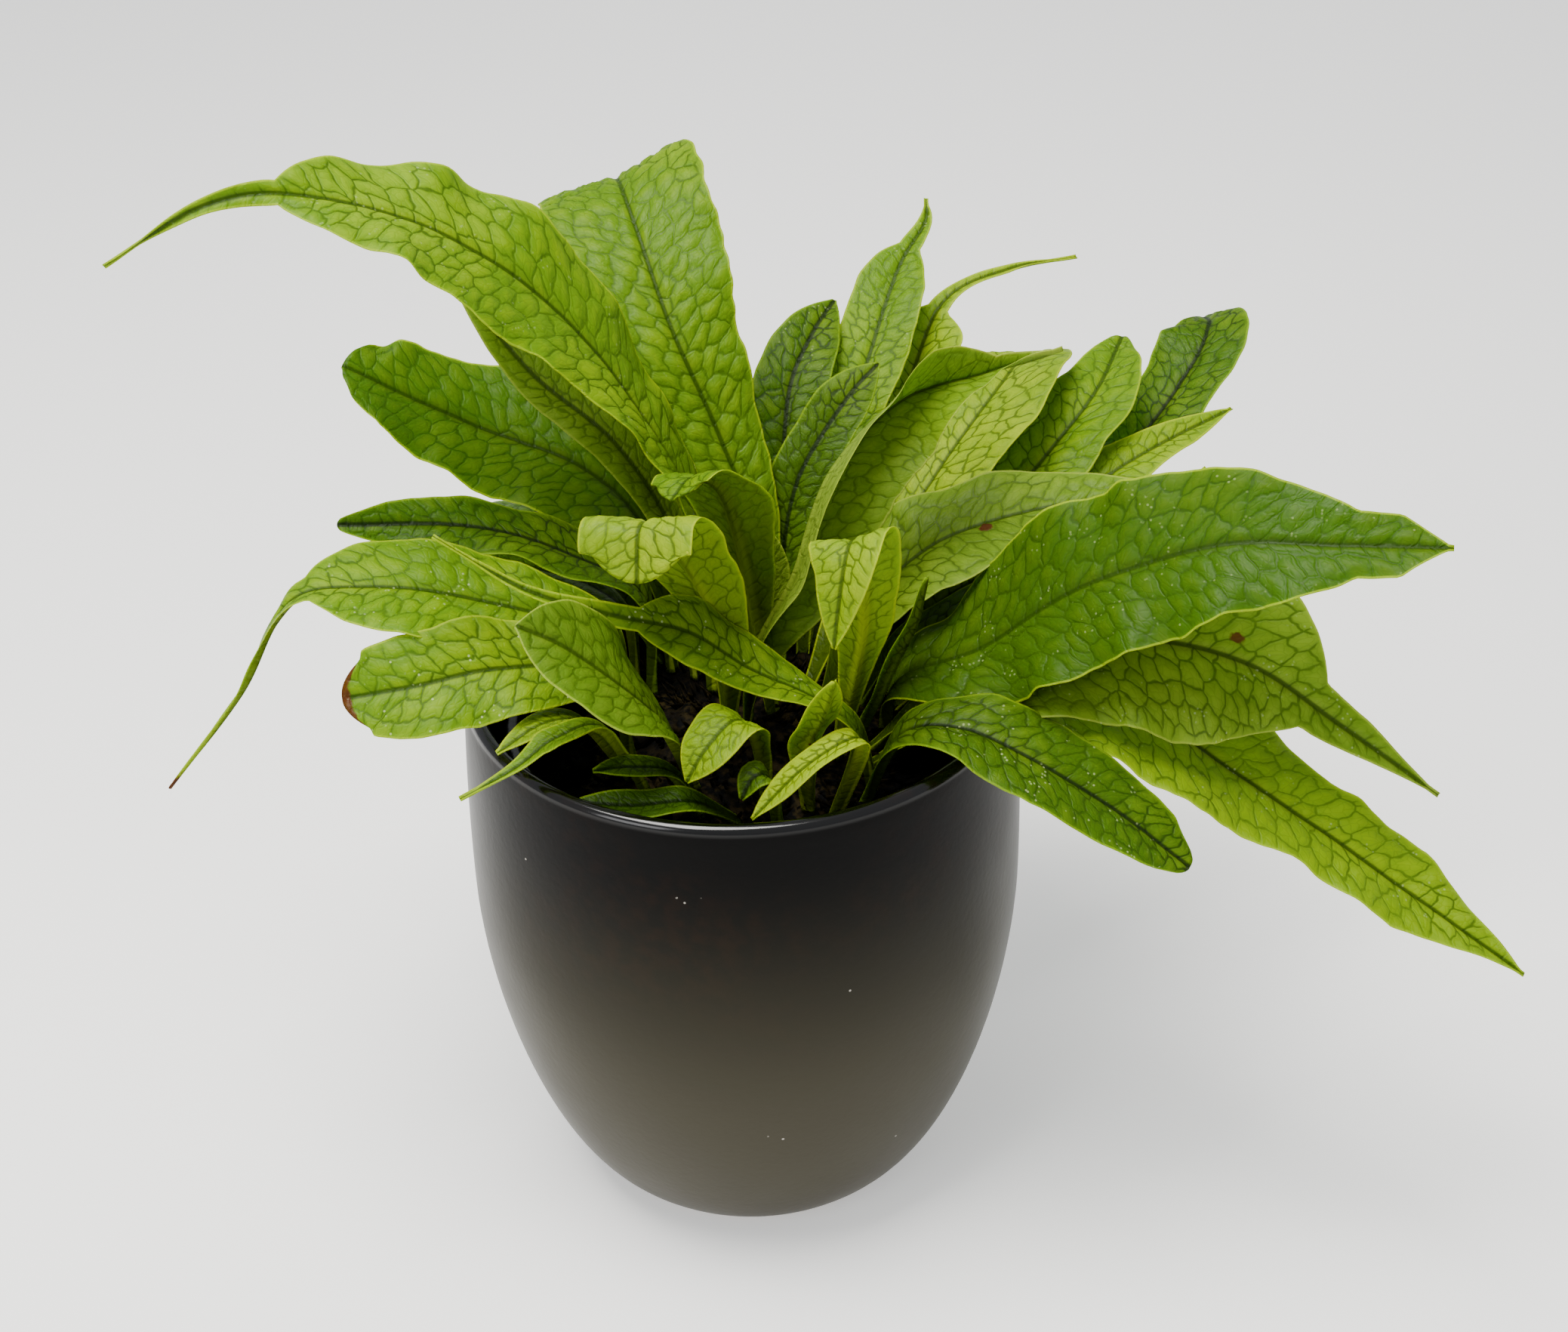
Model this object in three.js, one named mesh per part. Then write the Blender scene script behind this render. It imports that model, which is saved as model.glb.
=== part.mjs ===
// Potted crocodile fern: strap-shaped fronds growing from a creeping rhizome in a plastic
// nursery pot, which stands inside a black glazed ceramic pot. Millimetres, +Z up, with the
// origin at the centre of the pot's foot. -Y is the front.
import * as THREE from "three";

// Ceramic pot
const POT_HEIGHT = 188;
const RIM_RADIUS = 87.5;
const BELLY_RADIUS = 90;
const BELLY_HEIGHT = 117;
const FOOT_RADIUS = 52;
const FLANK_START = 0.8;
const POT_WALL = 5;
const POT_FLOOR = 7;
const FLOOR_FILLET = 3;

// Plastic nursery pot inside it
const LIP_DROP = 17;
const LIP_GAP = 5.5;
const LIP_OVERHANG = 4;
const LIP_DEPTH = 7;
const LIP_CHAMFER = 1;
const NURSERY_WALL = 1.4;
const DRAIN_RADIUS = 8;

// Potting mix and rhizome
const MIX_DROP = 28;
const RHIZOME_SHARE = 0.727;
const RHIZOME_HEIGHT = 10;
const RHIZOME_EDGE = 2;
const RHIZOME_STEPS = 7;

// Fronds
const STALK_HALF_WIDTH = 2.2;
const STALK_THICKNESS = 3.2;
const TIP_THICKNESS = 0.9;
const TIP_HALF_WIDTH = 0.8;
const TAIL_HALF_WIDTH = 4;
const FROND_FOLD = 7;
const FROND_SECTIONS = 20;

const CLEARANCE = 0.3;
const ROUND_STEPS = 48;

// What the pot's size settles for the parts inside it
const UP = new THREE.Vector3(0, 0, 1);
const RIM = POT_HEIGHT;
const MOUTH_RADIUS = Math.min(RIM_RADIUS, BELLY_RADIUS) - POT_WALL;
const LIP_TOP = POT_HEIGHT - LIP_DROP;
const LIP_RADIUS = MOUTH_RADIUS - LIP_GAP;
const NURSERY_RADIUS = LIP_RADIUS - LIP_OVERHANG;
const NURSERY_FOOT_RADIUS = FOOT_RADIUS - POT_WALL + 2;
const NURSERY_BASE = POT_FLOOR + CLEARANCE;
const NURSERY_FLOOR = NURSERY_BASE + NURSERY_WALL;
const MIX_TOP = POT_HEIGHT - MIX_DROP;
const RHIZOME_BASE = MIX_TOP + CLEARANCE;
const RHIZOME_RADIUS = MOUTH_RADIUS * RHIZOME_SHARE;

// The fronds below were laid out around a pot whose rim and mouth have these radii.
const LAYOUT_RIM_RADIUS = 87.5;
const LAYOUT_MOUTH_RADIUS = 82.5;

const material = (color, roughness) => new THREE.MeshStandardMaterial({ color, roughness, metalness: 0 });

const plant = new THREE.Group();

function add(name, geometry, meshMaterial) {
  const mesh = new THREE.Mesh(geometry, meshMaterial);
  mesh.name = name;
  plant.add(mesh);
}

// A solid turned about +Z from an outline of [radius, height] points.
function turned(outline) {
  const points = outline.map(([radius, height]) => new THREE.Vector2(radius, height));
  const geometry = new THREE.LatheGeometry(points, ROUND_STEPS);
  return geometry.rotateX(Math.PI / 2);
}

function curvePoints(curve, steps) {
  return curve.getPoints(steps).map((point) => [point.x, point.y]);
}

// ---- ceramic pot ----

// The outside or, inset by the wall, the inside: up from the foot to the belly and in to the rim.
// The flank leaves the foot nearly flat and turns upright by 0.6 of the belly's height.
function potSide(inset) {
  const foot = new THREE.Vector2(FOOT_RADIUS - inset, 0);
  const shoulder = new THREE.Vector2(BELLY_RADIUS * FLANK_START - inset, BELLY_HEIGHT * 0.07);
  const flank = new THREE.Vector2(BELLY_RADIUS - inset, BELLY_HEIGHT * 0.6);
  const belly = new THREE.Vector2(BELLY_RADIUS - inset, BELLY_HEIGHT);
  const neck = new THREE.Vector2(BELLY_RADIUS - inset, (BELLY_HEIGHT + POT_HEIGHT) / 2);
  const rim = new THREE.Vector2(RIM_RADIUS - inset, POT_HEIGHT - POT_WALL / 2);
  const lower = new THREE.CubicBezierCurve(foot, shoulder, flank, belly);
  const upper = new THREE.QuadraticBezierCurve(belly, neck, rim);
  return [...curvePoints(lower, 10), ...curvePoints(upper, 4).slice(1)];
}

function potGeometry() {
  const outside = potSide(0);
  const inside = potSide(POT_WALL).filter(([, height]) => height > POT_FLOOR);
  const lip = [];
  for (let step = 1; step < 6; step += 1) {
    const angle = (Math.PI * step) / 6;
    const radius = RIM_RADIUS - POT_WALL / 2 + (Math.cos(angle) * POT_WALL) / 2;
    lip.push([radius, POT_HEIGHT - POT_WALL / 2 + (Math.sin(angle) * POT_WALL) / 2]);
  }
  const floorEdge = [inside[0][0] - FLOOR_FILLET, POT_FLOOR];
  return turned([[0, 0], ...outside, ...lip, ...inside.reverse(), floorEdge, [0, POT_FLOOR]]);
}

// ---- nursery pot, mix and rhizome ----

function nurseryGeometry() {
  const underLip = LIP_TOP - LIP_DEPTH;
  const inner = NURSERY_RADIUS - NURSERY_WALL;
  const innerFoot = NURSERY_FOOT_RADIUS - NURSERY_WALL;
  return turned([
    [DRAIN_RADIUS, NURSERY_BASE],
    [NURSERY_FOOT_RADIUS, NURSERY_BASE],
    [NURSERY_RADIUS, underLip + NURSERY_WALL],
    [LIP_RADIUS - NURSERY_WALL, underLip + NURSERY_WALL],
    [LIP_RADIUS - NURSERY_WALL, underLip],
    [LIP_RADIUS, underLip],
    [LIP_RADIUS, LIP_TOP - LIP_CHAMFER],
    [LIP_RADIUS - LIP_CHAMFER, LIP_TOP],
    [inner + LIP_CHAMFER, LIP_TOP],
    [inner, LIP_TOP - LIP_CHAMFER],
    [innerFoot, NURSERY_FLOOR],
    [DRAIN_RADIUS, NURSERY_FLOOR],
    [DRAIN_RADIUS, NURSERY_BASE],
  ]);
}

function nurseryInsideRadius(height) {
  const share = (height - NURSERY_FLOOR) / (LIP_TOP - LIP_CHAMFER - NURSERY_FLOOR);
  const innerFoot = NURSERY_FOOT_RADIUS - NURSERY_WALL;
  return innerFoot + (NURSERY_RADIUS - NURSERY_WALL - innerFoot) * share;
}

function mixGeometry() {
  const base = NURSERY_FLOOR + CLEARANCE;
  return turned([
    [0, base],
    [nurseryInsideRadius(base) - CLEARANCE, base],
    [nurseryInsideRadius(MIX_TOP) - CLEARANCE, MIX_TOP],
    [0, MIX_TOP],
  ]);
}

// Height of the rhizome's domed surface above the mix.
function rhizomeRise(radius) {
  return RHIZOME_HEIGHT * (1 - (radius / RHIZOME_RADIUS) ** 2);
}

function rhizomeGeometry() {
  const edge = RHIZOME_RADIUS - RHIZOME_EDGE;
  const outline = [[0, RHIZOME_BASE], [edge, RHIZOME_BASE]];
  for (let step = RHIZOME_STEPS; step >= 0; step -= 1) {
    const radius = (edge * step) / RHIZOME_STEPS;
    outline.push([radius, RHIZOME_BASE + rhizomeRise(radius)]);
  }
  return turned(outline);
}

// ---- fronds ----

// Frond points follow the pot when it is made larger or smaller: what is inside its mouth
// stretches with it, and what is outside its rim moves out with it.
function followPot(point) {
  const radius = Math.hypot(point.x, point.y);
  let placed = radius + RIM_RADIUS - LAYOUT_RIM_RADIUS;
  if (radius < LAYOUT_MOUTH_RADIUS) {
    placed = (radius * MOUTH_RADIUS) / LAYOUT_MOUTH_RADIUS;
  } else if (radius < LAYOUT_RIM_RADIUS) {
    const share = (radius - LAYOUT_MOUTH_RADIUS) / (LAYOUT_RIM_RADIUS - LAYOUT_MOUTH_RADIUS);
    placed = MOUTH_RADIUS + (RIM_RADIUS - MOUTH_RADIUS) * share;
  }
  const scale = radius > 0 ? placed / radius : 1;
  return new THREE.Vector3(point.x * scale, point.y * scale, point.z);
}

// Half width of a frond at share t of its length: a stalk, a blade and, on some, a thin tail.
function halfWidth(frond, t) {
  const { width, widest = 0.58, tail = 0, tailWidth = TAIL_HALF_WIDTH, blunt = 0 } = frond;
  const bladeEnd = 1 - tail;
  if (t < widest) {
    const rise = THREE.MathUtils.smoothstep(t / widest, 0, 1) ** 0.8;
    return STALK_HALF_WIDTH + (width - STALK_HALF_WIDTH) * rise;
  }
  const fall = Math.min((t - widest) / (bladeEnd - widest), 1);
  const blade = width * (1 - fall ** 2) ** 0.8 + width * blunt * fall ** 2;
  const tip = t > bladeEnd ? tailWidth * (1 - (t - bladeEnd) / tail) : 0;
  return Math.max(blade, tip, fall < 1 && tail > 0 ? tailWidth : 0, TIP_HALF_WIDTH);
}

// A roll is given at even steps along the frond and read between them.
function rollAt(rolls, t) {
  const place = t * (rolls.length - 1);
  const index = Math.min(Math.floor(place), rolls.length - 2);
  const share = THREE.MathUtils.smoothstep(place - index, 0, 1);
  return THREE.MathUtils.degToRad(rolls[index] + (rolls[index + 1] - rolls[index]) * share);
}

function frondGeometry(frond) {
  const [baseX, baseY] = frond.base;
  const foot = followPot(new THREE.Vector3(baseX, baseY, 0));
  foot.set(baseX, baseY, RHIZOME_BASE - RIM + rhizomeRise(Math.hypot(foot.x, foot.y)));
  const spine = [foot, ...frond.spine.map((point) => new THREE.Vector3(...point))];
  const curve = new THREE.CatmullRomCurve3(spine, false, "catmullrom", 0.5);
  const end = spine[spine.length - 1];
  const heading = frond.facing === undefined
    ? Math.atan2(end.y - foot.y, end.x - foot.x)
    : THREE.MathUtils.degToRad(frond.facing);
  const rolls = frond.roll ?? [0, 0];
  const side = new THREE.Vector3(Math.sin(heading), -Math.cos(heading), 0);
  const direction = UP.clone();
  const turn = new THREE.Quaternion();
  const positions = [];
  for (let section = 0; section <= FROND_SECTIONS; section += 1) {
    const t = section / FROND_SECTIONS;
    const centre = curve.getPoint(t);
    if (section > 0) {
      const next = curve.getTangent(t);
      side.applyQuaternion(turn.setFromUnitVectors(direction, next));
      direction.copy(next);
    }
    const across = side.clone().applyAxisAngle(direction, -rollAt(rolls, t));
    const face = across.clone().cross(direction);
    const reach = halfWidth(frond, t);
    const depth = THREE.MathUtils.lerp(STALK_THICKNESS, TIP_THICKNESS, Math.sqrt(t)) / 2;
    const fold = section > 0 ? THREE.MathUtils.degToRad(frond.fold ?? FROND_FOLD) : 0;
    const spread = reach * Math.cos(fold);
    const lift = reach * Math.sin(fold);
    const corners = [[-spread, lift], [0, -depth], [spread, lift], [0, depth]];
    for (const [sideways, faceways] of corners) {
      const corner = centre.clone().addScaledVector(across, sideways).addScaledVector(face, faceways);
      const placed = followPot(corner);
      if (section === 0) {
        placed.z = RHIZOME_BASE - RIM + rhizomeRise(Math.hypot(placed.x, placed.y)) + CLEARANCE;
      }
      positions.push(placed.x, placed.y, placed.z + RIM);
    }
  }
  // Corners 0 and 2 are the margins. Each quad is split from its margin here to the midrib ahead,
  // so the upper and lower faces of a twisted blade bend alike and don't cut through each other.
  const indices = [0, 1, 2, 0, 2, 3];
  for (let section = 0; section < FROND_SECTIONS; section += 1) {
    for (let corner = 0; corner < 4; corner += 1) {
      const here = section * 4 + corner;
      const beside = section * 4 + ((corner + 1) % 4);
      if (corner % 2 === 0) {
        indices.push(here, beside + 4, beside, here, here + 4, beside + 4);
      } else {
        indices.push(here, here + 4, beside, here + 4, beside + 4, beside);
      }
    }
  }
  const last = FROND_SECTIONS * 4;
  indices.push(last, last + 2, last + 1, last, last + 3, last + 2);
  const geometry = new THREE.BufferGeometry();
  geometry.setAttribute("position", new THREE.Float32BufferAttribute(positions, 3));
  geometry.setIndex(indices);
  geometry.computeVertexNormals();
  return geometry;
}

// Each frond: where its stalk leaves the rhizome, points along its midrib (from the rim's centre),
// the half width of its blade, and how far it is rolled about its midrib.
const DEEP = 0x4d8a22;
const BRIGHT = 0x6fae2b;
const LIME = 0x9cc43f;
const OLIVE = 0x7c9a45;
const FRONDS = [
  // left
  { name: "frond_long_left", colour: BRIGHT, base: [-8, 14], width: 25, widest: 0.46, tail: 0.27,
    spine: [[-14, 27, 44], [-46, 31, 102], [-82, 25, 137], [-119, 12, 156], [-146, 2, 158], [-176, -6, 143]],
    roll: [0, 20, 35, 20, 60, 120] },
  { name: "frond_twisted_left", colour: OLIVE, base: [-14, 24], width: 8,
    spine: [[-20, 36, 25], [-38, 42, 58], [-64, 50, 80], [-88, 57, 112]], roll: [0, 40, 60, 60] },
  { name: "frond_left_blunt", colour: BRIGHT, base: [-22, 32], width: 26, widest: 0.5, blunt: 0.45,
    spine: [[-30, 48, 22], [-52, 57, 43], [-86, 61, 57], [-124, 55, 82]], roll: [0, 30, 35, 30] },
  { name: "frond_left_dark", colour: DEEP, base: [-28, 18], width: 13.5, widest: 0.5, blunt: 0.15,
    spine: [[-30, 20, 14], [-50, 19, 30], [-82, 18, 43], [-124, 12, 48]], roll: [0, 5, 12, 60] },
  { name: "frond_left_tailed", colour: BRIGHT, base: [-34, -2], width: 20, widest: 0.45, tail: 0.38, tailWidth: 6,
    spine: [[-40, -4, 14], [-64, -8, 27], [-96, -12, 38], [-126, -16, 42], [-140, -20, 34], [-153, -27, 12],
      [-177, -36, -16]],
    roll: [0, 30, 25, 10, -20, -20] },
  { name: "frond_left_cut", colour: BRIGHT, base: [-34, -16], width: 17, blunt: 0.5,
    spine: [[-42, -22, 13], [-72, -34, 23], [-96, -41, 22], [-118, -44, 20]], roll: [0, 30, 40, 40] },
  { name: "frond_left_olive", colour: OLIVE, base: [-34, 26], width: 8,
    spine: [[-36, 30, 0], [-48, 32, 12], [-68, 30, 21], [-96, 24, 34]], roll: [0, 20] },
  // upright at the centre and back
  { name: "frond_tall_broad", colour: BRIGHT, base: [2, 24], width: 28, facing: 110, widest: 0.76, blunt: 0.6,
    spine: [[7, 37, 20], [-5, 51, 55], [-20, 66, 88], [-32, 94, 114], [-38, 118, 118], [-40, 142, 98]],
    roll: [0, 0, 0, 10, 18, 18] },
  { name: "frond_centre_olive", colour: OLIVE, base: [4, 16], width: 7, facing: 250,
    spine: [[9, 18, 10], [9, 20, 28], [1, 22, 46]] },
  { name: "frond_centre_dark", colour: DEEP, base: [12, 28], width: 10, facing: 70,
    spine: [[14, 40, 14], [20, 50, 40], [36, 62, 62], [47, 70, 71]] },
  { name: "frond_back_dark", colour: DEEP, base: [10, 40], width: 13, facing: 85,
    spine: [[14, 52, 8], [15, 66, 34], [18, 84, 56], [26, 100, 68], [34, 114, 74]] },
  { name: "frond_back_tailed", colour: BRIGHT, base: [20, 38], width: 13, facing: 75, tail: 0.25,
    spine: [[23, 56, 7], [31, 74, 32], [43, 94, 56], [56, 124, 80], [66, 140, 90], [67, 148, 96]] },
  { name: "frond_back_lime", colour: LIME, base: [28, 32], width: 16, facing: 60, tail: 0.35,
    spine: [[34, 60, 2], [45, 80, 26], [58, 102, 46], [72, 124, 68], [96, 137, 74], [120, 146, 74]] },
  // right
  { name: "frond_main_arching", colour: OLIVE, base: [2, -6], width: 22, tail: 0.12, fold: 55,
    spine: [[6, -4, 8], [18, -1, 32], [30, 7, 64], [52, 20, 82], [78, 28, 87], [102, 34, 92]],
    roll: [-40, -95, -105, -95, -50, 20] },
  { name: "frond_lime_right", colour: LIME, base: [20, 10], width: 22, facing: 45, blunt: 0.2,
    spine: [[36, 34, 6], [56, 50, 26], [72, 66, 42], [88, 84, 55], [98, 104, 56], [104, 120, 48]] },
  { name: "frond_green_right", colour: BRIGHT, base: [30, 20], width: 17, facing: 40, blunt: 0.2,
    spine: [[46, 28, 5], [78, 50, 18], [108, 74, 40], [122, 90, 51], [133, 116, 57]] },
  { name: "frond_spotted_right", colour: OLIVE, base: [24, 0], width: 21, widest: 0.5,
    spine: [[38, 8, 12], [60, 15, 33], [92, 21, 42], [134, 22, 48]], roll: [0, -15, -22, -20] },
  { name: "frond_great_right", colour: BRIGHT, base: [44, -4], width: 27, widest: 0.5, tail: 0.08, tailWidth: 10,
    spine: [[50, -8, 0], [74, -17, 15], [102, -29, 43], [139, -45, 66], [172, -57, 72], [201, -65, 75]],
    roll: [0, -15, -40, -45, -40, -30] },
  { name: "frond_olive_right", colour: OLIVE, base: [40, -14], width: 30, widest: 0.6, tail: 0.2, tailWidth: 8,
    spine: [[60, -18, -2], [86, -22, 11], [118, -28, 24], [152, -36, 20], [182, -46, 2], [211, -54, -18]],
    roll: [0, -15, -45, -50, -45] },
  { name: "frond_long_right", colour: BRIGHT, base: [38, -24], width: 24, widest: 0.5, tail: 0.14, tailWidth: 16,
    spine: [[60, -24, -8], [86, -23, 4], [124, -32, -1], [160, -46, -21], [196, -62, -42], [237, -80, -67]],
    roll: [0, -10, -30, -35, -30] },
  { name: "frond_dark_right", colour: DEEP, base: [36, -40], width: 17, blunt: 0.3,
    spine: [[48, -46, 4], [66, -51, 9], [86, -59, 3], [112, -68, -11], [133, -76, -26]], roll: [0, -10, -15, -15] },
  { name: "frond_curled_far_right", colour: DEEP, base: [44, 30], width: 16, facing: 40, widest: 0.7, blunt: 0.3,
    spine: [[62, 40, 4], [104, 78, 9], [134, 96, 22], [158, 118, 44], [166, 134, 52], [167, 150, 48]] },
  { name: "frond_pointed_far_right", colour: LIME, base: [46, 20], width: 12, facing: 40,
    spine: [[62, 27, 2], [89, 42, 13], [126, 64, 33], [167, 87, 43]] },
  { name: "frond_pale_far_right", colour: LIME, base: [48, 10], width: 11, facing: 30,
    spine: [[68, 7, 0], [92, 17, 7], [120, 34, 18], [154, 56, 37]] },
  { name: "frond_inner_right", colour: DEEP, base: [36, 6], width: 11,
    spine: [[50, 12, -2], [70, 15, 8], [92, 18, 18], [112, 22, 27]], roll: [0, -10] },
  { name: "frond_inner_upright", colour: DEEP, base: [36, -8], width: 7, facing: 330,
    spine: [[46, -14, 6], [53, -17, 24], [57, -18, 42]] },
  // front
  { name: "frond_front_left", colour: OLIVE, base: [-14, -34], width: 19, widest: 0.6,
    spine: [[-22, -44, 8], [-34, -53, 28], [-48, -57, 44], [-62, -60, 54]], roll: [0, 45] },
  { name: "frond_bright_strip", colour: BRIGHT, base: [42, -32], width: 13, widest: 0.55, tail: 0.32,
    spine: [[36, -34, -2], [22, -30, 8], [4, -27, 16], [-14, -29, 31], [-38, -32, 40], [-62, -33, 50], [-88, -28, 66]],
    roll: [0, 0, 20, 40, 20] },
  { name: "frond_folded_left", colour: LIME, base: [-4, -12], width: 18, facing: 250, widest: 0.65, blunt: 0.8,
    spine: [[-4, -11, 13], [-10, -16, 38], [-22, -27, 66], [-27, -38, 73], [-28, -47, 59]] },
  { name: "frond_curled_bright", colour: BRIGHT, base: [10, 0], width: 14, facing: 250, blunt: 0.6,
    spine: [[5, 8, 16], [1, 6, 42], [-4, -4, 66], [-12, -14, 76], [-18, -24, 74]] },
  { name: "frond_folded_front", colour: LIME, base: [30, -20], width: 13, facing: 270, widest: 0.64,
    spine: [[35, -22, 8], [38, -28, 32], [37, -37, 60], [34, -44, 70], [31, -53, 64], [28, -58, 42]] },
  { name: "frond_young_front", colour: LIME, base: [20, -44], width: 8, facing: 300,
    spine: [[20, -48, 2], [24, -52, 14], [28, -57, 31]] },
  { name: "frond_pale_front", colour: LIME, base: [28, -48], width: 6, facing: 225, widest: 0.75,
    spine: [[36, -56, 6], [32, -60, 12], [18, -65, 5], [3, -71, -8]] },
  { name: "frond_small_front_dark", colour: DEEP, base: [12, -52], width: 5, facing: 200,
    spine: [[9, -58, -3], [4, -61, 0], [0, -64, -6]] },
  { name: "frond_curled_front", colour: LIME, base: [8, -38], width: 10, facing: 225,
    spine: [[5, -43, 2], [-1, -51, 14], [-10, -59, 9], [-16, -63, 0]] },
  { name: "frond_low_front", colour: DEEP, base: [0, -50], width: 6,
    spine: [[-14, -60, -9], [-32, -64, -7], [-50, -64, -5]] },
  { name: "frond_low_left", colour: DEEP, base: [-12, -46], width: 6,
    spine: [[-20, -48, -7], [-32, -51, -2], [-44, -54, -1]] },
  { name: "frond_small_left", colour: LIME, base: [-34, -26], width: 6,
    spine: [[-46, -34, 2], [-58, -44, 10], [-72, -55, 7]] },
  { name: "frond_slim_left", colour: BRIGHT, base: [-26, -40], width: 5, tail: 0.4,
    spine: [[-40, -45, 8], [-54, -55, 12], [-66, -63, 7], [-82, -71, 2]] },
  // low at the back
  { name: "frond_back_low_left", colour: BRIGHT, base: [-12, 44], width: 18,
    spine: [[-30, 80, 12], [-56, 112, 12], [-80, 132, -8]] },
  { name: "frond_back_low_centre", colour: DEEP, base: [0, 48], width: 18,
    spine: [[-2, 84, 16], [-6, 118, 20], [-8, 152, 0]] },
  { name: "frond_back_low_right", colour: BRIGHT, base: [24, 48], width: 14,
    spine: [[40, 84, 11], [50, 120, 14], [58, 152, -10]] },
  { name: "frond_back_far_right", colour: DEEP, base: [36, 40], width: 13,
    spine: [[50, 60, 6], [66, 84, 13], [84, 112, 10], [102, 136, -4]] },
  { name: "frond_back_far_left", colour: DEEP, base: [-26, 42], width: 17,
    spine: [[-52, 66, 6], [-84, 90, 6], [-114, 106, -10]] },
];

add("pot", potGeometry(), material(0x2a2826, 0.35));
add("nursery_pot", nurseryGeometry(), material(0x111111, 0.4));
add("potting_mix", mixGeometry(), material(0x1f1812, 0.95));
add("rhizome", rhizomeGeometry(), material(0x4a3a20, 0.8));
for (const frond of FRONDS) {
  add(frond.name, frondGeometry(frond), material(frond.colour, 0.5));
}

export default plant;
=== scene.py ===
"""A crocodile fern in its plastic nursery pot, standing in a black glazed ceramic pot."""

import math
import random

import bmesh
import bpy
import numpy as np
from mathutils import Matrix, Vector, noise


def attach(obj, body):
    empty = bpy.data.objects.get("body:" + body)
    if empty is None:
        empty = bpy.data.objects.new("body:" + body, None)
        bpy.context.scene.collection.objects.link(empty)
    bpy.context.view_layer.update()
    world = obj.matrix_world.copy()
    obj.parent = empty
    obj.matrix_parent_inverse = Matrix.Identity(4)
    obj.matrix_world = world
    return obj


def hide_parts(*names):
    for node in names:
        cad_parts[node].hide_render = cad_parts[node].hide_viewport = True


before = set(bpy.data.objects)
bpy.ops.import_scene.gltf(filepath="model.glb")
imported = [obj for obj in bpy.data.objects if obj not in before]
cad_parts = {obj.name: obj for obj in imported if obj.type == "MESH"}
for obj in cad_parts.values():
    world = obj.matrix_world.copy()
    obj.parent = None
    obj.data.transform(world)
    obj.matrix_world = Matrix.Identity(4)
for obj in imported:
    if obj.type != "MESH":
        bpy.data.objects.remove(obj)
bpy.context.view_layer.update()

# Camera: eye level a little above the plant, looking down on it from the front, on a lens of
# normal length that takes in the whole pot and its spread of fronds.
CAMERA_TARGET = Vector((0.0138, 0, 0.1875))
CAMERA_DISTANCE = 0.775
CAMERA_RISE = math.radians(32.7)
CAMERA_TILT = math.radians(-1.4)
CAMERA_LENS = 56.09

backwards = Vector((0, -math.cos(CAMERA_RISE), math.sin(CAMERA_RISE)))
level_right = Vector((1, 0, 0))
level_up = backwards.cross(level_right)
right = math.cos(CAMERA_TILT) * level_right + math.sin(CAMERA_TILT) * level_up
up = math.cos(CAMERA_TILT) * level_up - math.sin(CAMERA_TILT) * level_right
camera = bpy.data.objects.new("camera", bpy.data.cameras.new("camera"))
camera.data.lens = CAMERA_LENS
camera.data.sensor_width = 36
turn = Matrix((right, up, backwards)).transposed()
camera.matrix_world = Matrix.LocRotScale(CAMERA_TARGET + backwards * CAMERA_DISTANCE, turn, None)
bpy.context.collection.objects.link(camera)
bpy.context.scene.camera = camera


# Floor and light: a plain pale sheet that the pot stands on, under one large soft lamp overhead
# and a weaker one from the front left, in a pale room.
FLOOR_SIZE = 6.0
FLOOR_WHITE = (0.88, 0.875, 0.86, 1)
FLOOR_ROUGHNESS = 0.7
FLOOR_GLOW = 0.5
ROOM_WHITE = (0.93, 0.96, 1.0, 1)
ROOM_STRENGTH = 0.7
PLANT_MIDDLE = Vector((0, 0, 0.2))

floor_shape = bmesh.new()
bmesh.ops.create_grid(floor_shape, x_segments=1, y_segments=1, size=FLOOR_SIZE / 2)
floor_mesh = bpy.data.meshes.new("floor")
floor_shape.to_mesh(floor_mesh)
floor_shape.free()
floor = bpy.data.objects.new("floor", floor_mesh)
bpy.context.collection.objects.link(floor)
floor_paint = bpy.data.materials.new("pale floor")
floor_paint.use_nodes = True
floor_shader = floor_paint.node_tree.nodes["Principled BSDF"]
floor_shader.inputs["Base Color"].default_value = FLOOR_WHITE
floor_shader.inputs["Roughness"].default_value = FLOOR_ROUGHNESS
floor_shader.inputs["Emission Color"].default_value = FLOOR_WHITE
floor_shader.inputs["Emission Strength"].default_value = FLOOR_GLOW
floor_mesh.materials.append(floor_paint)

room = bpy.data.worlds.new("room")
room.use_nodes = True
room.node_tree.nodes["Background"].inputs["Color"].default_value = ROOM_WHITE
room.node_tree.nodes["Background"].inputs["Strength"].default_value = ROOM_STRENGTH
bpy.context.scene.world = room


def soft_lamp(name, place, size, power, colour=(1, 1, 1)):
    """A square soft lamp at a place in metres, turned towards the plant."""
    lamp = bpy.data.lights.new(name, "AREA")
    lamp.size = size
    lamp.energy = power
    lamp.color = colour
    holder = bpy.data.objects.new(name, lamp)
    holder.location = place
    holder.rotation_euler = (PLANT_MIDDLE - Vector(place)).to_track_quat("-Z", "Y").to_euler()
    bpy.context.collection.objects.link(holder)


soft_lamp("overhead", (-0.25, -0.15, 1.5), size=0.8, power=44, colour=(1, 0.98, 0.93))
soft_lamp("front_left", (-1.1, -1.2, 0.9), size=0.8, power=10)


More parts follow.
